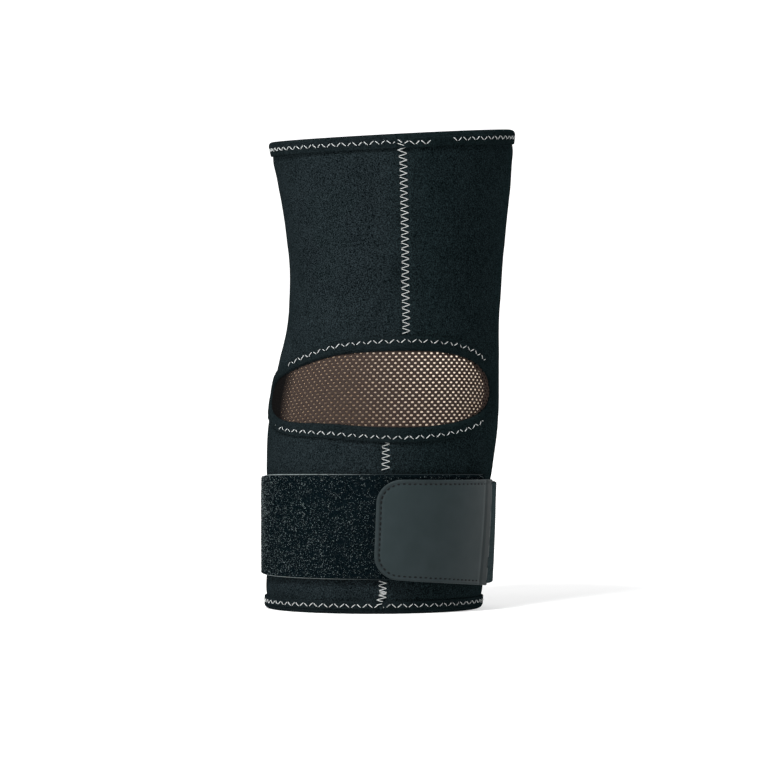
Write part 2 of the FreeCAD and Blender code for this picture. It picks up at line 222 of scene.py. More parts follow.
class Shape:
    """Collects grids, tubes and other faces, then turns them into one mesh object."""

    def __init__(self):
        self.points, self.faces, self.uvs, self.slots = [], [], [], []
        self.count = 0

    def add(self, points, faces, uv=None, slot=0):
        """Faces given as indices into their own points."""
        points = np.asarray(points, float).reshape(-1, 3)
        uv = np.zeros((len(points), 2)) if uv is None else np.asarray(uv, float).reshape(-1, 2)
        self.points.append(points)
        self.uvs.append(uv)
        faces = np.asarray(faces, int) + self.count
        self.faces.extend(faces.tolist())
        self.slots.extend([slot] * len(faces))
        self.count += len(points)

    def grid(self, points, uv=None, wrap_u=False, wrap_v=False, flip=False, slot=0):
        """A (u, v, 3) array of points as quads."""
        nu, nv = points.shape[:2]
        iu = np.arange(nu if wrap_u else nu - 1)
        iv = np.arange(nv if wrap_v else nv - 1)
        i, j = np.meshgrid(iu, iv, indexing="ij")
        i, j = i.ravel(), j.ravel()
        i2, j2 = (i + 1) % nu, (j + 1) % nv
        faces = np.stack([i * nv + j, i2 * nv + j, i2 * nv + j2, i * nv + j2], 1)
        self.add(points, faces[:, ::-1] if flip else faces, uv, slot)

    def tubes(self, paths, normals, wide, tall, sides=6, taper=0.55):
        """Many short tubes at once: paths and normals are (n, k, 3), in metres."""
        n, k = paths.shape[:2]
        run = np.gradient(paths, axis=1)
        run /= np.linalg.norm(run, axis=-1, keepdims=True)
        side = np.cross(run, normals)
        side /= np.linalg.norm(side, axis=-1, keepdims=True)
        up = np.cross(side, run)
        w = 2 * np.pi * np.arange(sides) / sides
        ends = np.ones(k)
        ends[0] = ends[-1] = taper
        ring = np.cos(w)[:, None] * side[:, :, None] * wide + np.sin(w)[:, None] * up[:, :, None] * tall
        points = paths[:, :, None] + ring * ends[None, :, None, None]
        i, j = np.meshgrid(np.arange(k - 1), np.arange(sides), indexing="ij")
        i, j = i.ravel(), j.ravel()
        j2 = (j + 1) % sides
        near, far = i * sides, (i + 1) * sides
        quads = np.stack([near + j, near + j2, far + j2, far + j], 1)
        base = (np.arange(n) * k * sides)[:, None, None]
        run_uv = np.broadcast_to(np.arange(k)[None, :, None] / (k - 1), (n, k, sides))
        side_uv = np.broadcast_to(np.arange(sides)[None, None] / sides, (n, k, sides))
        self.add(points, (quads[None] + base).reshape(-1, 4), np.stack([run_uv, side_uv], -1))
        first = self.count - n * k * sides
        for cap in (np.arange(sides), (k - 1) * sides + np.arange(sides)[::-1]):
            self.faces.extend((cap[None] + base[:, 0] + first).tolist())
            self.slots.extend([0] * n)

    def build(self, name, *materials):
        """The mesh object, smooth shaded and in the scene."""
        points = np.vstack(self.points)
        uvs = np.vstack(self.uvs)
        mesh = bpy.data.meshes.new(name)
        mesh.from_pydata(points.tolist(), [], self.faces)
        for m in materials:
            mesh.materials.append(MATERIALS[m])
        mesh.polygons.foreach_set("material_index", np.array(self.slots, np.int32))
        layer = mesh.uv_layers.new(name="cloth")
        corner = np.empty(len(mesh.loops), np.int32)
        mesh.loops.foreach_get("vertex_index", corner)
        layer.data.foreach_set("uv", uvs[corner].astype(np.float32).ravel())
        mesh.polygons.foreach_set("use_smooth", np.full(len(mesh.polygons), True))
        mesh.validate()
        mesh.update()
        thing = bpy.data.objects.new(name, mesh)
        bpy.context.scene.collection.objects.link(thing)
        return thing


def outward(deg):
    """Unit vectors straight out of the sleeve at each angle."""
    t = np.radians(deg)
    return np.stack([np.sin(t), -np.cos(t), np.zeros_like(t)], -1)


def thread_runs(
    shape, deg, z, out, wide=0.19, tall=0.16, lift=0.14, sink=0.42, trim=0.0, weak=1.0, skip=None
):
    """Threads between each point and the next, rising out of the cloth and diving back in.

    Every other thread is pulled tighter by the factor `weak`; none is made between the two
    angles of `skip`.
    """
    starts = np.stack([deg[:-1], z[:-1], out[:-1]], -1)
    ends = np.stack([deg[1:], z[1:], out[1:]], -1)
    steps = 8
    u = np.linspace(trim, 1 - trim, steps)[None, :, None]
    rows = starts[:, None] * (1 - u) + ends[:, None] * u
    n = len(rows)
    arch = np.sin(np.pi * np.linspace(0.0, 1.0, steps))[None] ** 0.8
    depth = sink * (0.75 + 0.5 * rng.random((n, 1)))
    rise = lift * (0.7 + 0.6 * rng.random((n, 1)))
    rise = np.where(np.arange(n)[:, None] % 2, rise, rise - (1.0 - weak) * lift * 1.6)
    off = rows[..., 2] - depth * (1 - arch) + rise * arch
    slip = 0.18 * (rng.random((n, 1)) - 0.5)
    paths = place(rows[..., 0], rows[..., 1] + slip, off)
    if skip:
        middle = rows[:, steps // 2, 0]
        shown = (middle < skip[0]) | (middle > skip[1])
        paths, rows = paths[shown], rows[shown]
    shape.tubes(paths, outward(rows[..., 0]), wide / 1000, tall / 1000)


def attach(thing, slot, body, *cad_nodes):
    """Hides the parts a piece stands for and parents it to its body, or with body None bakes its place into
    its mesh; `slot` is not used.
    """
    if cad_nodes:
        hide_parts(*cad_nodes)
    if body:
        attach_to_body(thing, body)
    else:
        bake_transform(thing)


def dashes(name, body, cad_node, deg, z, out, **look):
    """Dark thread along every other gap of a line of places."""
    shape = Shape()
    for k in range(0, len(deg) - 1, 2):
        pair = slice(k, k + 2)
        thread_runs(shape, deg[pair], z[pair], out[pair], **look)
    attach(shape.build(name, "black_thread"), "black_thread", body, cad_node)


def near_points(deg, z, pd, pz, radius):
    """How close each place is to the nearest of some points: 1 on one, 0 beyond `radius` mm."""
    flat_d, flat_z = np.ravel(deg), np.ravel(z)
    best = np.full(flat_d.shape, 1e9)
    for d, h in zip(pd, pz):
        dx = (flat_d - d) * UV_PER_DEG
        best = np.minimum(best, dx * dx + (flat_z - h) ** 2)
    return np.exp(-best / radius**2).reshape(np.shape(deg))


def run_along(deg, z, out):
    """Distance in mm from the first place of a line to each of its places."""
    steps = np.linalg.norm(np.diff(place_mm(deg, z, out), axis=0), axis=1)
    return np.concatenate([[0], np.cumsum(steps)])


def evenly(deg, z, pitch):
    """Points at an even spacing along a line of (angle, height) places, an even number of gaps."""
    run = run_along(deg, z, 1.0)
    count = 2 * int(round(run[-1] / pitch / 2))
    want = np.linspace(0, run[-1], count + 1)
    return np.interp(want, run, deg), np.interp(want, run, z)


# ---- materials

MATERIALS = {}


def new_material(name):
    """Adds a material to MATERIALS, and gives its node tree and its shader."""
    MATERIALS[name] = bpy.data.materials.new(name)
    MATERIALS[name].use_nodes = True
    tree = MATERIALS[name].node_tree
    return tree, tree.nodes["Principled BSDF"]


def node(tree, kind, *links, operation=None, **inputs):
    """A node with (input, socket) links and some inputs set; _ in a name stands for a space."""
    n = tree.nodes.new(kind)
    if operation:
        n.operation = operation
    for key, value in inputs.items():
        n.inputs[key.replace("_", " ")].default_value = value
    for key, socket in links:
        tree.links.new(socket, n.inputs[key])
    return n


def uv_places(tree):
    """Places on the cloth, in metres."""
    n = tree.nodes.new("ShaderNodeUVMap")
    n.uv_map = "cloth"
    return n.outputs["UV"]


def object_places(tree):
    """Places in the shared frame, in metres."""
    return tree.nodes.new("ShaderNodeTexCoord").outputs["Object"]


def noise(tree, places, scale, detail=2.0, rough=0.5):
    """Soft random values; a higher scale makes finer ones."""
    look = {"Scale": scale, "Detail": detail, "Roughness": rough}
    return node(tree, "ShaderNodeTexNoise", ("Vector", places), **look).outputs["Fac"]


def wave(tree, uv, direction, scale, distortion):
    """Bands across the cloth."""
    n = node(tree, "ShaderNodeTexWave", ("Vector", uv), Scale=scale, Distortion=distortion)
    n.bands_direction = direction
    return n.outputs["Fac"]


def ramp(tree, fac, stops):
    """A colour for each value, between stops of (value, colour)."""
    n = node(tree, "ShaderNodeValToRGB", ("Fac", fac))
    while len(n.color_ramp.elements) < len(stops):
        n.color_ramp.elements.new(0.5)
    for element, (at, color) in zip(n.color_ramp.elements, stops):
        element.position = at
        element.color = (*color, 1.0)
    return n.outputs["Color"]


def maths(tree, operation, a, b):
    """Two sockets or numbers put together."""
    n = node(tree, "ShaderNodeMath", operation=operation)
    for socket, value in zip(n.inputs, (a, b)):
        if isinstance(value, (int, float)):
            socket.default_value = value
        else:
            tree.links.new(value, socket)
    return n.outputs[0]


def surface(tree, shader, color, rough, shine):
    """Gives a shader its colour, roughness and specular level."""
    tree.links.new(color, shader.inputs["Base Color"])
    shader.inputs["Roughness"].default_value = rough
    shader.inputs["Specular IOR Level"].default_value = shine


def bump(tree, shader, height, strength, distance):
    """Makes a shader's surface look raised by a value, `distance` metres at most."""
    n = node(tree, "ShaderNodeBump", ("Height", height), Strength=strength, Distance=distance)
    tree.links.new(n.outputs["Normal"], shader.inputs["Normal"])


def between(tree, value, start, end, first, last):
    """A value that goes from `first` to `last` as another goes from `start` to `end`."""
    ends = {"From_Min": start, "From_Max": end, "To_Min": first, "To_Max": last}
    return node(tree, "ShaderNodeMapRange", ("Value", value), **ends).outputs["Result"]


def along_x(tree, places, start, end, first, last):
    """A value that goes from `first` to `last` between two X positions."""
    split = node(tree, "ShaderNodeSeparateXYZ", ("Vector", places))
    return between(tree, split.outputs["X"], start, end, first, last)


def shaded(tree, color, value):
    """A colour multiplied by a value."""
    links = (0, color), ("Scale", value)
    return node(tree, "ShaderNodeVectorMath", *links, operation="SCALE").outputs["Vector"]


def tinted(tree, color, tint):
    """Two colours multiplied."""
    links = (0, color), (1, tint)
    return node(tree, "ShaderNodeVectorMath", *links, operation="MULTIPLY").outputs["Vector"]


def cloth_material(
    name, dark, light, grain, rough, weave=None, depth=0.0002, spread=(0.35, 0.68), right_shade=1.0
):
    """Fabric: two sizes of fleck in its colour, and a bump from the flecks and an optional weave.

    The last argument, below 1, paints shade on the +X side of the back seam: the cloth is made darker and a
    little greener there.
    """
    tree, shader = new_material(name)
    places = object_places(tree)
    fine = noise(tree, places, grain, 3.0, 0.7)
    broad = noise(tree, places, 60.0, 2.0)
    fine_part, broad_part = maths(tree, "MULTIPLY", fine, 0.93), maths(tree, "MULTIPLY", broad, 0.07)
    mixed = maths(tree, "ADD", fine_part, broad_part)
    color = ramp(tree, mixed, [(spread[0], dark), (spread[1], light)])
    if right_shade < 1.0:
        # Painted shade: darker and a little greener on the +X side of the back seam.
        right = along_x(tree, places, -0.004, 0.020, 0.0, 1.0)
        tint = ramp(tree, right, [(0.0, (1.0, 1.0, 1.0)), (1.0, (right_shade, right_shade * 1.18, right_shade * 1.16))])
        color = tinted(tree, color, tint)
    surface(tree, shader, color, rough, 0.0)
    height = fine
    if weave:
        uv = uv_places(tree)
        ribs = [wave(tree, uv, way, 0.5 / pitch, 0.6) for way, pitch in zip("XY", weave)]
        knit = maths(tree, "MULTIPLY", *ribs)
        height = maths(tree, "ADD", maths(tree, "MULTIPLY", fine, 0.4), knit)
    bump(tree, shader, height, 0.6, depth)


def thread_material(name, color, groove_shade):
    """Twisted thread with painted shade in the grooves between its strands."""
    tree, shader = new_material(name)
    twist = wave(tree, uv_places(tree), "DIAGONAL", 2.2, 0.4)
    surface(tree, shader, ramp(tree, twist, [(0.1, groove_shade), (0.5, color)]), 0.8, 0.1)
    bump(tree, shader, twist, 0.5, 0.0001)


def mesh_material(name, dark, light):
    """Knitted strands, with painted shade that darkens them towards the window's -X end."""
    tree, shader = new_material(name)
    fine = noise(tree, object_places(tree), 2600.0, 3.0, 0.7)
    # Painted shade over the window's -X end.
    along = along_x(tree, uv_places(tree), -0.070, -0.058, 0.0, 0.75)
    mixed = maths(tree, "ADD", along, maths(tree, "MULTIPLY", fine, 0.25))
    surface(tree, shader, ramp(tree, mixed, [(0.1, dark), (1.0, light)]), 0.8, 0.0)
    bump(tree, shader, fine, 0.5, 0.0001)


def edge_material(name, dark, light):
    """Cut foam edge: pale and frayed, with painted shade that makes it darker and plainer towards +X."""
    tree, shader = new_material(name)
    places = object_places(tree)
    frayed = noise(tree, places, 700.0, 3.0, 0.7)
    # Painted shade: the pale fraying fades out towards +X.
    mixed = maths(tree, "MULTIPLY", frayed, along_x(tree, places, -0.06, 0.005, 1.0, 0.1))
    surface(tree, shader, ramp(tree, mixed, [(0.12, dark), (0.6, light)]), 0.95, 0.05)


def leather_material(name, dark, light):
    """Smooth leatherette with a fine pebble grain; painted shade darkens its folded end by the elastic."""
    tree, shader = new_material(name)
    places = object_places(tree)
    cells = node(tree, "ShaderNodeTexVoronoi", ("Vector", places), Scale=1500.0)
    broad = noise(tree, places, 90.0, 3.0)
    color = ramp(tree, broad, [(0.3, dark), (0.7, light)])
    # Painted shade on the folded end by the elastic.
    fold_shade = along_x(tree, uv_places(tree), 0.0646, 0.0652, 1.0, 0.7)
    surface(tree, shader, shaded(tree, color, fold_shade), 0.6, 0.14)
    bump(tree, shader, cells.outputs["Distance"], 0.12, 0.0001)


# The neoprene gets painted shade on the +X side of the back seam.
cloth_material(
    "neoprene", (0.0003, 0.0012, 0.0014), (0.0170, 0.0245, 0.0275), 1700.0, 0.95,
    spread=(0.41, 0.63), right_shade=0.7,
)
cloth_material(
    "lining", (0.70, 0.60, 0.50), (0.90, 0.81, 0.71), 1200.0, 0.95, spread=(0.3, 0.7)
)
# The binding gets painted shade on the +X side of the back seam too.
cloth_material(
    "binding", (0.001, 0.002, 0.0022), (0.011, 0.0163, 0.0182), 1500.0, 0.95, right_shade=0.8
)
mesh_material("mesh", (0.003, 0.003, 0.003), (0.036, 0.026, 0.022))
edge_material("band_edge", (0.008, 0.012, 0.013), (0.18, 0.21, 0.21))
cloth_material(
    "pile", (0.000, 0.001, 0.0015), (0.004, 0.008, 0.010), 1500.0, 0.95, depth=0.0006
)
# The pile's loops: their pale flecks are painted highlights, glints on the black pile.
cloth_material(
    "glinting_pile_loop", (0.001, 0.003, 0.004), (0.27, 0.33, 0.335), 1700.0, 0.7, spread=(0.50, 0.68)
)
cloth_material(
    "elastic", (0.008, 0.013, 0.0145), (0.034, 0.048, 0.051), 1500.0, 0.9, weave=(0.0012, 0.0009)
)
cloth_material("hook", (0.008, 0.008, 0.008), (0.03, 0.03, 0.03), 900.0, 0.45)
cloth_material("foam", (0.02, 0.026, 0.028), (0.07, 0.08, 0.085), 700.0, 0.9)
leather_material("leatherette", (0.012, 0.020, 0.0215), (0.015, 0.0235, 0.0255))
# The tab's rim: the leatherette a little darker, as painted shade.
leather_material("shaded_leather_rim", (0.011, 0.0175, 0.019), (0.016, 0.024, 0.026))
thread_material("white_thread", (0.64, 0.66, 0.65), (0.24, 0.25, 0.25))
thread_material("black_thread", (0.008, 0.009, 0.010), (0.002, 0.002, 0.002))


# ---- thread positions

def zigzag_round(z_of, around):
    """A zigzag all the way round a hem of `around` mm, about a line of heights."""
    legs = 2 * int(round(around / STITCH_PITCH))
    k = np.arange(legs + 1)
    deg = -180.0 + 360.0 * k / legs
    return deg, z_of(deg) + np.where(k % 2, STITCH_SWING, -STITCH_SWING)


TOP_GAP = (19.3, 29.8)       # where the top hem's zigzag is broken off
TOP_START = (6.6, 19.3)      # its restarted end, sewn a little lower


def top_stitch_line(deg):
    """Height of the middle of the top hem's zigzag."""
    lower = (deg > TOP_START[0]) & (deg < TOP_START[1])
    return rim_z(deg) + BINDING - STITCH_FROM_EDGE - np.where(lower, 0.9, 0.0)


TOP_ZIGZAG = zigzag_round(top_stitch_line, 414.0)
FOOT_ZIGZAG = zigzag_round(lambda deg: np.full_like(deg, STITCH_FROM_EDGE), 366.0)


def window_zigzag():
    """A zigzag round the window, its turns square to the window's edge."""
    deg, z = window_edge(np.linspace(0, 1, 721), WINDOW_STITCH)
    deg, z = evenly(deg, z, STITCH_PITCH / 2)
    scale = mm_per_deg(deg[:-1], z[:-1])
    along = (np.roll(deg[:-1], -1) - np.roll(deg[:-1], 1)) * scale
    rise = np.roll(z[:-1], -1) - np.roll(z[:-1], 1)
    length = np.hypot(along, rise)
    swing = np.where(np.arange(len(deg) - 1) % 2, STITCH_SWING, -STITCH_SWING)
    new_deg = deg[:-1] + swing * rise / length / scale
    new_z = z[:-1] - swing * along / length
    return np.append(new_deg, new_deg[0]), np.append(new_z, new_z[0])


WINDOW_ZIGZAG = window_zigzag()


def window_thread_out():
    """How far the window's thread stands off: pulled tight at both ends, its outer turns sunk."""
    deg, z = WINDOW_ZIGZAG
    tight = np.clip(np.maximum(deg - 56.0, -62.0 - deg) / 5.0, 0.0, 1.0)
    out = BINDING + 0.16 + 0.2 * wander(deg, z, 11, 9.0) - 0.35 * tight
    out[1::2] -= 0.2
    return out


def seam_zigzag(low, high, pitch):
    """A zigzag over the back seam between two heights."""
    legs = 2 * int(round((high - low) / pitch))
    k = np.arange(legs + 1)
    z = low + (high - low) * k / legs
    side = np.where(k % 2, 1.0, -1.0)
    return seam_deg(z) + side * SEAM_SWING / mm_per_deg(0.0, z), z


SEAM_RUNS = {
    "upper": seam_zigzag(149.5, 251.0, SEAM_PITCH),
    "lower": seam_zigzag(77.0, 92.5, SEAM_SHORT_PITCH),
    "foot": seam_zigzag(9.5, 18.0, SEAM_SHORT_PITCH),
    "back_tack": seam_zigzag(5.0, 13.0, SEAM_SHORT_PITCH),
}


def seam_thread_out(deg, z):
    """The seam's thread bridges its groove and runs up over the bindings at both ends."""
    over_top = np.clip((z - 246.0) / 1.6, 0.0, 1.0)
    over_foot = np.clip((9.4 - z) / 1.4, 0.0, 1.0)
    over = np.maximum(over_top, over_foot)
    sunk = np.where(deg < seam_deg(z), SEAM_SUNK, 0.0)
    return (sleeve_relief(deg, z) + 0.4 - sunk) * (1.0 - over) + (BINDING + 0.35) * over


# ---- the sleeve

def sleeve_relief(deg, z):
    """How far the sleeve's outside stands off its plain form, in mm."""
    out = 0.35 * wander(deg, z, 1, 40.0) + 0.12 * wander(deg, z, 5, 11.0)
    off_seam = (deg - seam_deg(z)) * 1.05
    out = out - 0.55 * np.exp(-(off_seam / 1.5) ** 2)
    out = out + 0.22 * np.exp(-((np.abs(off_seam) - 4.2) / 1.8) ** 2)
    for d, h in SEAM_RUNS.values():
        out = out - 0.35 * near_points(deg, z, d, h, 0.9)
    to_rim = rim_z(deg) - z
    out = out - 0.35 * np.exp(-((to_rim - 4.0) / 4.5) ** 4) - 0.35 * np.exp(-((z - 4.0) / 4.5) ** 4)
    out = out + 0.3 * np.exp(-((to_rim - 12.0) / 4.0) ** 2) + 0.25 * np.exp(-((z - 12.0) / 4.0) ** 2)
    ring = window_inside(deg, z, 4.0)
    out = out - 0.3 * np.exp(-(np.maximum(ring - 1.0, 0.0) / 0.35) ** 2)
    low, high = band_low(deg), band_high(deg)
    under = 1 / (1 + np.exp(-(z - low) / 1.0)) / (1 + np.exp((z - high) / 1.0))
    return out * (1 - 0.9 * under) - 0.6 * under


def sleeve():
    """The neoprene sheet, in one piece, with its cut-out for the mesh."""
    shape = Shape()
    gap = 0.2
    turn = np.linspace(0.5, 0.0, 129)
    window_deg, window_high = window_edge(turn, gap)
    _, window_low = window_edge(1.0 - turn, gap)
    first, last = window_deg[0], window_deg[-1]
    rest_deg = np.linspace(last, first + 360.0, 105)[1:-1]
    deg = np.concatenate([window_deg, rest_deg])
    tilt = np.clip((rest_deg - last) / (first + 360.0 - last), 0, 1)
    rest_z = window_high[-1] * (1 - tilt) + window_high[0] * tilt
    low_cut = np.concatenate([window_low, rest_z])
    high_cut = np.concatenate([window_high, rest_z])
    rim = rim_z(deg) - 0.1
    rows_low, rows_high = 68, 82
    v_low = np.linspace(0, 1, rows_low)[None]
    v_high = np.linspace(0, 1, rows_high)[None]
    lower = 1.0 * (1 - v_low) + low_cut[:, None] * v_low
    upper = high_cut[:, None] * (1 - v_high) + rim[:, None] * v_high
    around = (deg - deg[0]) * UV_PER_DEG
    for z, top in ((lower, False), (upper, True)):
        dd = np.broadcast_to(deg[:, None], z.shape)
        wrapped = (dd + 180.0) % 360.0 - 180.0
        uv = np.stack([np.broadcast_to(around[:, None], z.shape), z], -1) / 1000.0
        outer = place(dd, z, sleeve_relief(wrapped, z))
        inner = place(dd, z, -NEOPRENE + 0.25 * wander(wrapped, z, 9, 30.0))
        shape.grid(outer, uv, wrap_u=True)
        shape.grid(inner, uv, wrap_u=True, flip=True, slot=1)
        edge, cut = (-1, 0) if top else (0, -1)
        rim_strip = np.stack([inner[:, edge], outer[:, edge]], 1)
        shape.grid(rim_strip, None, wrap_u=True, flip=top)
        cut_strip = np.stack([outer[: len(turn), cut], inner[: len(turn), cut]], 1)
        shape.grid(cut_strip, None, flip=top)
    thing = shape.build("sleeve", "neoprene", "lining")
    weld(thing)
    attach(thing, "neoprene", None, "thigh_panel", "knee_panel", "calf_panel")


def weld(thing, distance=1e-5):
    """Joins a piece's points that lie in one place."""
    bm = bmesh.new()
    bm.from_mesh(thing.data)
    bmesh.ops.remove_doubles(bm, verts=bm.verts, dist=distance)
    bm.to_mesh(thing.data)
    bm.free()
    thing.data.update()


def hem_profile(steps=8):
    """The folded strip's section: (out, height above the sheet's edge) all the way round it."""
    middle = -NEOPRENE / 2
    big, small = NEOPRENE / 2 + BINDING, NEOPRENE / 2 + 0.05
    skin = [(BINDING - 0.25, -HEM_HEIGHT), (BINDING, -HEM_HEIGHT + 0.25)]
    skin += [(BINDING + 0.12 * math.sin(math.pi * k / 6), -HEM_HEIGHT + 0.8 + 0.95 * k) for k in range(6)]
    for k in range(steps * 2 + 1):
        w = math.pi * k / (steps * 2)
        skin.append((middle + big * math.cos(w), middle + big * math.sin(w)))
    skin += [(-NEOPRENE - BINDING, -HEM_HEIGHT + 3.0), (-NEOPRENE - BINDING, -HEM_HEIGHT + 0.2)]
    inner = [(-NEOPRENE - 0.05, -HEM_HEIGHT), (-NEOPRENE - 0.05, -3.0)]
    for k in range(steps + 1):
        w = math.pi * (1 - k / steps)
        inner.append((middle + small * math.cos(w), middle + small * math.sin(w)))
    inner += [(0.0, -3.0), (-0.05, -HEM_HEIGHT)]
    return np.array(skin + inner), len(skin)


def hem_rise(deg, z, top):
    """How far a hem's outside stands off its plain form: uneven, and doubled at its join."""
    join = np.exp(-((deg - seam_deg(z) - 1.5) / 2.6) ** 4)
    notch = np.exp(-((deg - seam_deg(z) + 1.6) / 0.55) ** 2)
    return 0.22 * wander(deg, z, 3 + top, 17.0) + 0.1 + 0.45 * join - 0.8 * notch


def hem_thread_out(zigzag, top):
    """How far a hem's thread stands off the sleeve."""
    return BINDING + 0.06 + np.maximum(hem_rise(*zigzag, top), -0.1)


def hem(name, top, body, cad_node, zigzag):
    """A folded binding right round a rim, dimpled where its stitches go through."""
    shape = Shape()
    deg = np.linspace(-180.0, 180.0, 401)[:-1]
    profile, skin = hem_profile()
    dd, out, height = np.broadcast_arrays(deg[:, None], *profile.T)
    if top:
        z = rim_z(dd) + height
    else:
        z = (BINDING - height) * HEM_HEIGHT / (HEM_HEIGHT + BINDING)
    outside = np.clip((out + 1.0) / 1.5, 0, 1) * (np.arange(len(profile)) < skin)
    out = out + outside * hem_rise(dd, z, top)
    out -= outside * DIMPLE * near_points(dd, z, *zigzag, DIMPLE_R)
    shape.grid(place(dd, z, out), cloth_uv(dd, z), wrap_u=True, wrap_v=True, flip=not top)
    thing = shape.build(name, "binding")
    attach(thing, "binding", body, cad_node)


def stitches(name, body, cad_nodes, lines, **look):
    """White thread along one or more zigzag lines of (angle, height, out)."""
    shape = Shape()
    for line in lines:
        thread_runs(shape, *line, **look)
    attach(shape.build(name, "white_thread"), "white_thread", body, *cad_nodes)


# ---- the window

def even_turns(count):
    """Turns round the window that are evenly spaced along its edge."""
    turn = np.linspace(0, 1, 1441)
    deg, z = window_edge(turn, 3.0)
    run = run_along(deg, z, 0.0)
    return np.interp(np.linspace(0, run[-1], count + 1)[:-1], run, turn)


def window_profile():
    """The folded strip's section all round: (mm outside the mesh's edge, mm off the sleeve)."""
    middle = -NEOPRENE / 2
    big, small = NEOPRENE / 2 + BINDING, NEOPRENE / 2 + 0.05
    bend = big - 0.4
    section = [
        (8.0, 0.05), (8.05, 0.7), (7.6, BINDING + 0.05), (6.6, BINDING + 0.16),
        (5.6, BINDING + 0.18), (4.6, BINDING + 0.16), (3.6, BINDING + 0.12),
    ]
    for k in range(13):
        c, s = math.cos(math.pi * k / 12), math.sin(math.pi * k / 12)
        section.append((bend - big * s * 0.97, middle + big * c + 0.12 * s))
    section += [(5.0, -NEOPRENE - BINDING), (7.0, -NEOPRENE - BINDING), (7.4, -NEOPRENE - 0.05)]
    section.append((bend, -NEOPRENE - 0.05))
    for k in range(9):
        w = math.pi * (1 - k / 8)
        section.append((bend - small * math.sin(w) * 0.97, middle + small * math.cos(w)))
    section.append((5.0, 0.05))
    return np.array(section).T


def window_binding():
    """The folded strip round the cut-out: flange outside, roll over the edge, flange inside."""
    shape = Shape()
    turns = even_turns(440)
    grow, out = window_profile()
    tt = np.broadcast_to(turns[:, None], (len(turns), len(grow)))
    deg, z = window_edge(tt, 0.0)
    deg8, z8 = window_edge(tt, 8.0)
    share = grow / 8.0
    deg = deg + (deg8 - deg) * share
    z = z + (z8 - z) * share
    off = np.broadcast_to(out, tt.shape).copy()
    outside = np.clip((off + 1.0) / 1.5, 0, 1)
    off += outside * 0.2 * wander(deg, z, 11, 9.0)
    off -= outside * DIMPLE * near_points(deg, z, *WINDOW_ZIGZAG, DIMPLE_R)
    along = np.linspace(0, 0.4, len(turns))[:, None]
    uv = np.stack(np.broadcast_arrays(along, grow / 1000), -1)
    shape.grid(place(deg, z, off), uv, wrap_u=True, wrap_v=True)
    thing = shape.build("window_edge_binding", "binding")
    attach(thing, "binding", None, "window_binding")


MESH_PITCH, MESH_ROW = 3.66, 1.74
MESH_HOLE = (0.76, 0.48)
MESH_OFF = -0.9


def mesh_bulge(deg, z):
    """The mesh is drawn a little outwards between its edges."""
    inside = np.clip(1.0 - window_inside(deg, z, 0.0), 0.0, 1.0)
    return MESH_OFF + 1.6 * inside**0.7 + 0.25 * wander(deg, z, 21, 25.0)


def window_mesh():
    """Open knitted mesh: a hexagonal net of rounded strands with a real hole in every cell."""
    shape = Shape()
    scale = float(mm_per_deg(WINDOW_MID, WINDOW_Z))
    cols = [int(reach * scale / MESH_PITCH) + 2 for reach in WINDOW_REACH]
    rows = int((WINDOW_HALF_H + 6.0) / MESH_ROW) + 2
    centres = []
    for r in range(-rows, rows + 1):
        shift = 0.5 if r % 2 else 0.0
        for c in range(-cols[0], cols[1] + 1):
            centres.append(((c + shift) * MESH_PITCH, r * MESH_ROW))
    centres = np.array(centres)
    deg = WINDOW_MID + centres[:, 0] / scale
    row = centres[:, 1]
    keep = window_inside(deg, window_middle(deg) + row, 1.2) < 1.0
    deg, row = deg[keep], row[keep]
    # Each cell's outline is a flattened hexagon; neighbours share its corners.
    third = 1 / 3
    hexagon = [(0.5, third), (0.0, 2 * third), (-0.5, third)]
    hexagon = np.array(hexagon + [(-x, -y) for x, y in hexagon])
    outline = []
    for a, b in zip(hexagon, np.roll(hexagon, -1, axis=0)):
        outline += [a, (a + b) / 2]
    outline = np.array(outline) * (MESH_PITCH, MESH_ROW)
    w = np.arctan2(outline[:, 1] / MESH_HOLE[1], outline[:, 0] / MESH_HOLE[0])
    hole = np.stack([np.cos(w) * MESH_HOLE[0], np.sin(w) * MESH_HOLE[1]], -1)
    # A strand's section, from its middle to the hole and back: share of the way, rise in mm.
    rings = [(0.0, 0.20), (0.45, 0.17), (0.85, 0.02), (1.0, -0.16)]
    rings += [(0.85, -0.32), (0.4, -0.42), (0.0, -0.44)]
    n = len(deg)
    points = np.empty((n, len(rings), len(outline), 3))
    uvs = np.empty((n, len(rings), len(outline), 2))
    drawn_tight = np.interp(deg, [-66, -55, -20, 20], [0.2, 0.80, 0.84, 1.04])
    size = ((1.0 + 0.10 * (rng.random(n) - 0.5)) * drawn_tight)[:, None, None]
    for i, (toward, rise) in enumerate(rings):
        local = outline[None] * (1 - toward) + hole[None] * size * toward
        d = deg[:, None] + local[..., 0] / scale
        h = window_middle(d) + row[:, None] + local[..., 1]
        points[:, i] = place(d, h, mesh_bulge(d, h) + rise)
        uvs[:, i] = np.stack([d * scale, h], -1) / 1000.0
    k = len(outline)
    i, j = np.meshgrid(np.arange(len(rings) - 1), np.arange(k), indexing="ij")
    i, j = i.ravel(), j.ravel()
    j2 = (j + 1) % k
    quads = np.stack([i * k + j, i * k + j2, (i + 1) * k + j2, (i + 1) * k + j], 1)
    base = (np.arange(n) * len(rings) * k)[:, None, None]
    shape.add(points, (quads[None] + base).reshape(-1, 4), uvs)
    thing = shape.build("window_mesh", "mesh")
    weld(thing, 2e-5)
    attach(thing, "mesh_fabric", None, "popliteal_mesh")


# ---- straps

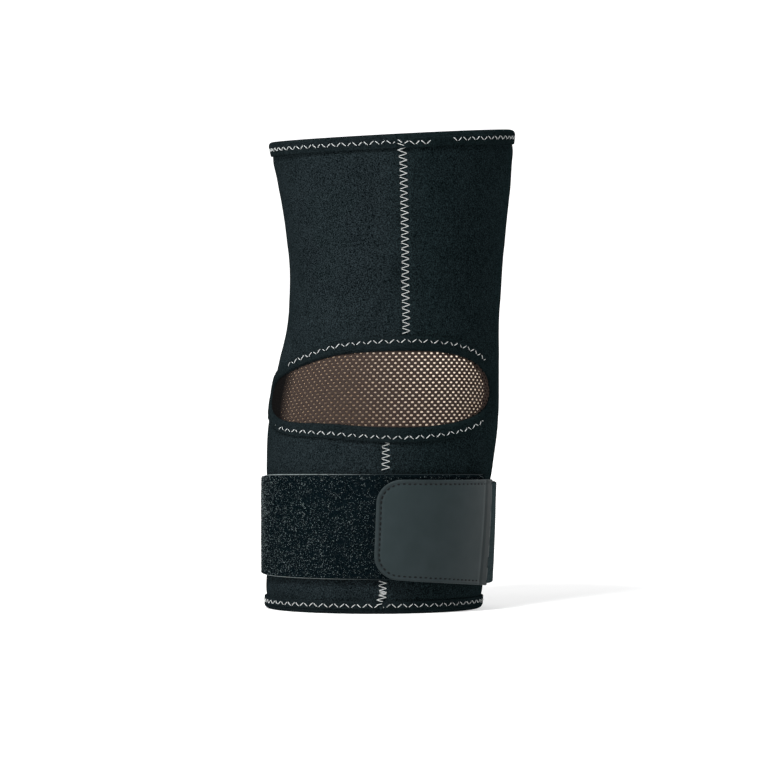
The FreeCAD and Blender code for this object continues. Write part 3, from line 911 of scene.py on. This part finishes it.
def slab_between(shape, degs, low_of, high_of, inner, outer, rows, soft, relief, flare=None):
    """A curved strap with rounded edges: outer face, edges and inner face as one closed skin.

    `relief` raises its outer face, and `flare` moves the whole strap off the sleeve.
    """
    v = np.linspace(0, 1, rows)
    low, high = low_of(degs), high_of(degs)
    z_face = low[:, None] + soft + (high - low - 2 * soft)[:, None] * v[None]
    dd = np.broadcast_to(degs[:, None], z_face.shape)
    rise = relief(dd, z_face)
    stand = flare(dd, z_face) if flare else np.zeros(z_face.shape)
    face = place(dd, z_face, outer + rise + stand)
    back = place(dd, z_face, inner + stand)
    shape.grid(face, cloth_uv(dd, z_face))
    shape.grid(back, cloth_uv(dd, z_face), flip=True)
    middle, half_thick = (outer + inner) / 2, (outer - inner) / 2
    arc = np.linspace(0, math.pi, 7)[None]
    for side, z_edge, at in ((1, high, [-1]), (-1, low, [0])):
        off = middle + half_thick * np.cos(arc) + rise[:, at] * (np.cos(arc) > 0.99) + stand[:, at]
        zz = (z_edge - side * soft)[:, None] + side * soft * np.sin(arc)
        edge = place(np.broadcast_to(degs[:, None], zz.shape), zz, off)
        shape.grid(edge, None, flip=side < 0)
    for at, flip in ((0, False), (-1, True)):
        shape.grid(np.stack([back[at], face[at]], 0), None, flip=flip)


def loop_band():
    """The strap's loop-faced band: a foam strip with a brushed pile of tiny loops."""
    core = Shape()
    degs = np.linspace(BAND_FROM, BAND_TO, 240)
    slab_between(
        core, degs, band_low, band_high, 0.05, BAND_CORE, rows=8, soft=0.4,
        relief=lambda d, z: 0.08 * wander(d, z, 31, 14.0),
    )
    under = core.build("loop_band_strip", "band_edge")
    weld(under)
    attach(under, "band_foam", "calf", "loop_band_core")

    pile = Shape()
    inset = 0.45
    slab_between(
        pile, degs, lambda d: band_low(d) + inset, lambda d: band_high(d) - inset,
        BAND_CORE, BAND_FACE - 0.15, rows=60, soft=0.35,
        relief=lambda d, z: 0.12 * wander(d, z, 33, 9.0) + 0.16 * (rng.random(d.shape) - 0.5),
    )
    face = pile.build("loop_pile_ground", "pile")
    weld(face)
    attach(face, "loop_pile", "calf", "loop_band_face")

    loops = Shape()
    count = 16000
    deg = BAND_FROM + 1.0 + (BAND_TO - BAND_FROM - 2.0) * rng.random(count)
    low, high = band_low(deg) + 0.8, band_high(deg) - 0.8
    z = low + (high - low) * rng.random(count)
    pressed = (deg > TAB_FROM + 1.5) & (z > tab_low(deg) + 1.5) & (z < tab_high(deg) - 1.5)
    n = len(deg)
    steps = 6
    turn = rng.random(n) * 2 * math.pi
    wide = 0.28 + 0.42 * rng.random(n)
    tall = (0.25 + 0.4 * rng.random(n)) * np.where(pressed, 0.3, 1.0)
    u = np.linspace(0, math.pi, steps)[None]
    across = -np.cos(u) * wide[:, None] * 0.6
    lean = np.sin(u) * (rng.random(n)[:, None] - 0.5) * 0.9
    dx = across * np.cos(turn)[:, None] - lean * np.sin(turn)[:, None]
    dz = across * np.sin(turn)[:, None] + lean * np.cos(turn)[:, None]
    off = BAND_FACE - 0.3 + np.sin(u) * tall[:, None]
    paths = place(deg[:, None] + dx / UV_PER_DEG, z[:, None] + dz, off)
    loops.tubes(paths, outward(deg[:, None] + 0 * dx), 0.00009, 0.00009, sides=3, taper=0.9)
    # The loops carry painted glints.
    attach(loops.build("loop_pile_loops", "glinting_pile_loop"), "loop_pile", "calf")


def elastic_strap():
    """The right-hand arm and its sewn end: ribbed woven elastic."""
    low, high = ELASTIC_Z
    for name, start, end, inner, body, cad_node in (
        ("elastic_arm", ELASTIC_FROM, ELASTIC_TO, ELASTIC_IN, "strap_arm", "strap_elastic"),
        ("elastic_root", ROOT_FROM, ROOT_TO, 0.05, "calf", "strap_root"),
    ):
        shape = Shape()
        degs = np.linspace(start, end, int((end - start) * 1.6))
        slab_between(
            shape, degs, lambda d: np.full_like(d, low), lambda d: np.full_like(d, high),
            inner, ELASTIC_OUT, rows=111, soft=0.6,
            relief=lambda d, z: 0.07 * np.sin(2 * np.pi * z) + 0.06 * wander(d, z, 41, 15.0),
            flare=strap_flare if body == "strap_arm" else None,
        )
        thing = shape.build(name, "elastic")
        weld(thing)
        attach(thing, "elastic", body, cad_node)


# ---- the tab

def strap_flare(deg, z):
    """How far the flat strap stands off the tapering calf, growing towards its lower edge."""
    start = np.clip((deg - 50.0) / 30.0, 0.0, 1.0)
    end = np.clip((138.0 - deg) / 25.0, 0.0, 1.0)
    across = start**2 * (3 - 2 * start) * end**2 * (3 - 2 * end)
    return 2.7 * across * np.clip((71.0 - z) / 57.0, 0.0, 1.0) + 0.3 * across


def tab_outline(inset, end, count=60, corner_steps=14):
    """(angle, low z, high z) columns of the tab, set in by `inset` mm."""
    per_deg = float(mm_per_deg(0.0, 45.0))
    radius = TAB_CORNER - inset
    start = TAB_FROM + inset / per_deg
    curve = radius / per_deg
    w = np.linspace(0, math.pi / 2, corner_steps)
    deg = np.concatenate([start + curve * (1 - np.cos(w)), np.linspace(start + curve, end, count)[1:]])
    run = np.clip((deg - start) / curve, 0, 1)
    rounding = radius * (1 - np.sqrt(np.clip(1 - (1 - run) ** 2, 0, 1)))
    return deg, tab_low(deg) + inset + rounding, tab_high(deg) - inset - rounding


def tab_loop(grid):
    """The border of a grid of values, once round it."""
    return np.concatenate([grid[::-1, 0], grid[0, 1:-1], grid[:, -1], grid[-1, -2:0:-1]])


def tab_sheet(name, cad_node, materials, slot, inset, end, inner, outer, layers, relief=None):
    """One layer of the tab, built as nested outlines so that its edge can be rounded all round.

    `layers` are its edge's outlines from back to front: (mm set in, mm off the sleeve).
    """
    shape = Shape()

    def sheet_points(extra):
        deg, low, high = tab_outline(inset + extra, end)
        v = np.linspace(0, 1, 46)[None]
        z = low[:, None] * (1 - v) + high[:, None] * v
        return np.broadcast_to(deg[:, None], z.shape), z

    def on_tab(deg, z, off):
        raised = relief(deg, z) if relief and off == outer else 0.0
        return place(deg, z, off + raised + strap_flare(deg, z))

    front = sheet_points(layers[-1][0])
    shape.grid(on_tab(*front, outer), cloth_uv(*front))
    loops = []
    for extra, off in layers:
        deg, z = sheet_points(extra)
        loops.append((tab_loop(deg), tab_loop(z), off))
    points = np.stack([on_tab(*loop) for loop in loops], 0)
    uvs = np.stack([cloth_uv(deg, z) for deg, z, _ in loops], 0)
    shape.grid(points, uvs, wrap_v=True, slot=len(materials) - 1)
    back = sheet_points(layers[0][0])
    shape.grid(on_tab(*back, inner), cloth_uv(*back), flip=True)
    thing = shape.build(name, *materials)
    weld(thing)
    attach(thing, slot, "strap_tab", cad_node)
    return thing


def tab_edge_distance(deg, z):
    """How far inside the tab's outline a place is, in mm."""
    per_deg = float(mm_per_deg(0.0, 45.0))
    from_left = (deg - TAB_FROM) * per_deg
    from_top, from_low = tab_high(deg) - z, z - tab_low(deg)
    plain = np.minimum(np.minimum(from_left, from_top), from_low)
    r = TAB_CORNER
    for from_edge in (from_top, from_low):
        corner = (from_left < r) & (from_edge < r)
        round_in = r - np.hypot(r - from_left, r - from_edge)
        plain = np.where(corner, round_in, plain)
    return plain


def tab_relief(deg, z):
    """A raised rim, a sewn groove inside it, a soft, slightly uneven middle, and a folded end."""
    inside = tab_edge_distance(deg, z)
    out = 0.22 * np.exp(-((inside - 1.2) / 0.75) ** 2)
    out = out - 0.34 * np.exp(-((inside - TAB_STITCH_IN) / 0.55) ** 2)
    out = out + 0.30 * (1 - np.exp(-np.maximum(inside - TAB_STITCH_IN, 0) / 5.0))
    out = out + 0.07 * wander(deg, z, 51, 16.0)
    from_fold = (TAB_TO - TAB_FOLD - deg) * 1.1
    return out - 0.5 * np.exp(-(from_fold / 0.7) ** 2)


def tab_stitch_line():
    """Places along the tab's seam, from its fold round the free end and back."""
    deg, low, high = tab_outline(TAB_STITCH_IN, TAB_TO - TAB_FOLD - 0.3)
    return np.concatenate([deg[::-1], deg]), np.concatenate([high[::-1], low])


def tab():
    """The leatherette tab, its foam, its hook patch with hooks, and its dashed seam."""
    cover_layers = [
        (0.25, TAB_COVER), (0.05, TAB_COVER + 0.1), (0.0, TAB_COVER + 0.35), (0.08, TAB_OUT - 0.12),
        (0.3, TAB_OUT), (1.0, TAB_OUT), (1.6, TAB_OUT), (2.0, TAB_OUT),
    ]
    cover = tab_sheet(
        "tab_leather", "tab_cover", ["leatherette", "shaded_leather_rim"], "leatherette",
        0.0, TAB_TO, TAB_COVER, TAB_OUT, cover_layers, tab_relief,
    )
    core_layers = [(0.2, TAB_CORE), (0.0, TAB_CORE + 0.3), (0.0, TAB_COVER - 0.35), (0.2, TAB_COVER - 0.05)]
    core = tab_sheet(
        "tab_padding", "tab_core", ["foam"], "band_foam",
        0.9, TAB_TO, TAB_CORE, TAB_COVER - 0.05, core_layers,
    )
    patch_layers = [
        (0.1, TAB_HOOK + 0.35), (0.0, TAB_HOOK + 0.45), (0.0, TAB_CORE - 0.15), (0.1, TAB_CORE - 0.05)
    ]
    patch = tab_sheet(
        "tab_hook_base", "tab_hook_patch", ["hook"], "hook",
        4.5, 52.0, TAB_HOOK + 0.35, TAB_CORE - 0.05, patch_layers,
    )

    hooks = Shape()
    degs, zs = np.meshgrid(np.arange(4.5, 50.5, 1.3), np.arange(24.5, 66.0, 1.4), indexing="ij")
    degs, zs = degs.ravel(), zs.ravel()
    inside = tab_edge_distance(degs, zs) > 5.6
    degs, zs = degs[inside], zs[inside]
    u = np.linspace(0, 1, 6)[None]
    reach = 0.42 * np.sin(u * 2.4) ** 2
    off = TAB_HOOK + 0.4 - 0.36 * np.sin(u * 2.3) + strap_flare(degs, zs)[:, None]
    paths = place(degs[:, None] + 0 * u, zs[:, None] + reach, off)
    hooks.tubes(paths, outward(degs[:, None] + 0 * u), 0.00011, 0.00011, sides=4, taper=0.8)
    attach(hooks.build("tab_hooks", "hook"), "hook", "strap_tab")

    deg, z = evenly(*tab_stitch_line(), 1.4)
    off = TAB_OUT + tab_relief(deg, z) + strap_flare(deg, z) + 0.1
    dashes(
        "tab_thread", "strap_tab", "tab_stitching", deg, z, off,
        wide=0.48, tall=0.25, lift=0.1, sink=0.2, trim=-0.14,
    )


def box_thread(name, cad_node, start, end, low, high, out):
    """A rectangle of dashes that holds a strap's end down on the calf."""
    across, up = np.linspace(start, end, 9), np.linspace(low, high, 9)
    deg = np.concatenate([across, np.full(8, end), across[-2::-1], np.full(8, start)])
    z = np.concatenate([np.full(9, low), up[1:], np.full(8, high), up[-2::-1]])
    deg, z = evenly(deg, z, DASH_PITCH)
    off = np.full(len(deg), out)
    dashes(name, "calf", cad_node, deg, z, off, wide=0.3, tall=0.22, lift=0.15, sink=0.25)


# ---- the front

def ring_place(turn, share):
    """Angle and height on the kneecap ring, from its outer edge (0) to its inner one (1)."""
    half_deg = RING_OUTER[0] + (RING_INNER[0] - RING_OUTER[0]) * share
    half_z = RING_OUTER[1] + (RING_INNER[1] - RING_OUTER[1]) * share
    return 180.0 - half_deg * np.cos(turn), RING_Z + half_z * np.sin(turn)


def kneecap_ring():
    """A soft padded ring sewn round the kneecap."""
    shape = Shape()
    around, across = 160, 25
    turn = np.linspace(0, 2 * np.pi, around + 1)[:-1]
    v = np.linspace(0, 1, across)
    deg, z = ring_place(turn[:, None], v[None])
    crown = np.sin(np.pi * v) ** 0.55
    rise = RING_THICK * (0.16 + 0.84 * crown)[None] + 0.1 * wander(deg, z, 61, 12.0)
    groove = 0.9 * np.exp(-((v - RING_SEAM) / 0.045) ** 2)[None]
    top = place(deg, z, rise - groove)
    base = place(deg, z, 0.05)
    uv = cloth_uv(deg, z)
    shape.grid(top, uv, wrap_u=True)
    shape.grid(base, uv, wrap_u=True, flip=True)
    for at, flip in ((0, False), (across - 1, True)):
        strip = np.stack([base[:, at], top[:, at]], 1)
        shape.grid(strip, None, wrap_u=True, flip=flip)
    thing = shape.build("kneecap_pad", "neoprene")
    weld(thing)
    attach(thing, "ring_foam", None, "kneecap_ring")

    deg, z = evenly(*ring_place(np.linspace(0, 2 * np.pi, 241), RING_SEAM), DASH_PITCH)
    off = np.full(len(deg), 1.9)
    dashes(
        "kneecap_thread", None, "kneecap_ring_stitching", deg, z, off,
        wide=0.3, tall=0.22, lift=0.2, sink=0.3,
    )


# ---- everything

sleeve()
hem("thigh_hem", True, "thigh", "thigh_hem_binding", TOP_ZIGZAG)
hem("calf_hem", False, "calf", "calf_hem_binding", FOOT_ZIGZAG)
window_binding()
window_mesh()
loop_band()
elastic_strap()
tab()
kneecap_ring()
box_thread(
    "loop_band_thread", "loop_band_stitching", -170.0, -150.0, 23.0, 69.0, BAND_FACE + 0.1
)
box_thread(
    "elastic_root_thread", "strap_root_stitching", 143.5, 164.0, 18.0, 65.0, ELASTIC_OUT + 0.1
)
stitches(
    "thigh_hem_thread", "thigh", ["thigh_hem_stitching"],
    [(*TOP_ZIGZAG, hem_thread_out(TOP_ZIGZAG, True))], weak=0.55, trim=0.12, skip=TOP_GAP,
)
stitches(
    "calf_hem_thread", "calf", ["calf_hem_stitching"],
    [(*FOOT_ZIGZAG, hem_thread_out(FOOT_ZIGZAG, False))], weak=0.55, trim=0.12,
)
stitches(
    "window_thread", None, ["window_stitching"],
    [(*WINDOW_ZIGZAG, window_thread_out())], weak=0.6, trim=0.11,
)
SEAM_LINES = {name: (deg, z, seam_thread_out(deg, z)) for name, (deg, z) in SEAM_RUNS.items()}
stitches(
    "upper_seam_thread", None, ["thigh_seam_stitching", "knee_seam_stitching"],
    [SEAM_LINES["upper"], SEAM_LINES["lower"]], wide=0.16, tall=0.15, weak=0.9,
)
stitches(
    "foot_seam_thread", "calf", ["calf_seam_stitching"],
    [SEAM_LINES["foot"], SEAM_LINES["back_tack"]], wide=0.17, tall=0.15,
)


# ---- floor, light and camera

def floor():
    """A pale floor that curves up into a pale background."""
    shape = Shape()
    x = np.linspace(-12.0, 12.0, 3)
    curve = np.linspace(0.1, math.pi / 2, 16)
    y = np.concatenate([np.linspace(-12.0, 4.0, 9), 4.0 + 2.0 * np.sin(curve), [6.0]])
    z = np.concatenate([np.zeros(9), 2.0 - 2.0 * np.cos(curve), [12.0]])
    points = np.stack(np.broadcast_arrays(x[:, None], y[None], z[None]), -1)
    tree, shader = new_material("pale_floor")
    places = object_places(tree)
    stops = [(0.3, (0.54, 0.54, 0.54)), (0.7, (0.56, 0.56, 0.56))]
    tree.links.new(ramp(tree, noise(tree, places, 3.0), stops), shader.inputs["Base Color"])
    shader.inputs["Roughness"].default_value = 0.9
    # The floor glows, more the farther it is from the brace: painted light that pales the brace's shadow
    # and whitens the background.
    shader.inputs["Emission Color"].default_value = (1.0, 1.0, 1.0, 1.0)
    reach = node(tree, "ShaderNodeVectorMath", (0, places), operation="LENGTH")
    glow = between(tree, reach.outputs["Value"], 0.4, 1.6, 0.5, 0.88)
    tree.links.new(glow, shader.inputs["Emission Strength"])
    shape.grid(points)
    shape.build("floor_sweep", "pale_floor")


def aim_at(thing, aim):
    """Turns a lamp or camera towards a point and adds it to the scene."""
    away = Vector(aim) - thing.location
    thing.rotation_euler = away.to_track_quat("-Z", "Y").to_euler()
    bpy.context.scene.collection.objects.link(thing)


def area_light(name, at, size, power):
    """A white rectangular lamp that points at the middle of the brace."""
    data = bpy.data.lights.new(name, "AREA")
    data.shape = "RECTANGLE"
    data.size, data.size_y = size
    data.energy = power
    lamp = bpy.data.objects.new(name, data)
    lamp.location = at
    aim_at(lamp, LIGHT_AIM)


def camera():
    """A long lens behind the knee, a little above the middle of the brace."""
    data = bpy.data.cameras.new("camera")
    data.lens = 209.3
    data.sensor_width = 36.0
    data.clip_start, data.clip_end = 0.05, 60.0
    thing = bpy.data.objects.new("camera", data)
    thing.location = (-0.0026, -2.4398, 0.162)
    aim_at(thing, (-0.0026, 0.0, 0.122))
    bpy.context.scene.camera = thing


def world():
    """Even white light from all round."""
    w = bpy.data.worlds.new("studio")
    w.use_nodes = True
    background = w.node_tree.nodes["Background"]
    background.inputs["Color"].default_value = (1.0, 1.0, 1.0, 1.0)
    background.inputs["Strength"].default_value = 0.3
    bpy.context.scene.world = w


floor()
world()
camera()
area_light("key", (-0.66, -1.1, 1.9), (0.5, 0.5), 76.0)
area_light("side", (-1.9, -1.0, 0.6), (0.8, 1.0), 18.0)
area_light("edge", (1.7, 0.9, 0.7), (0.5, 1.2), 14.0)
bpy.context.scene.view_settings.view_transform = "Standard"
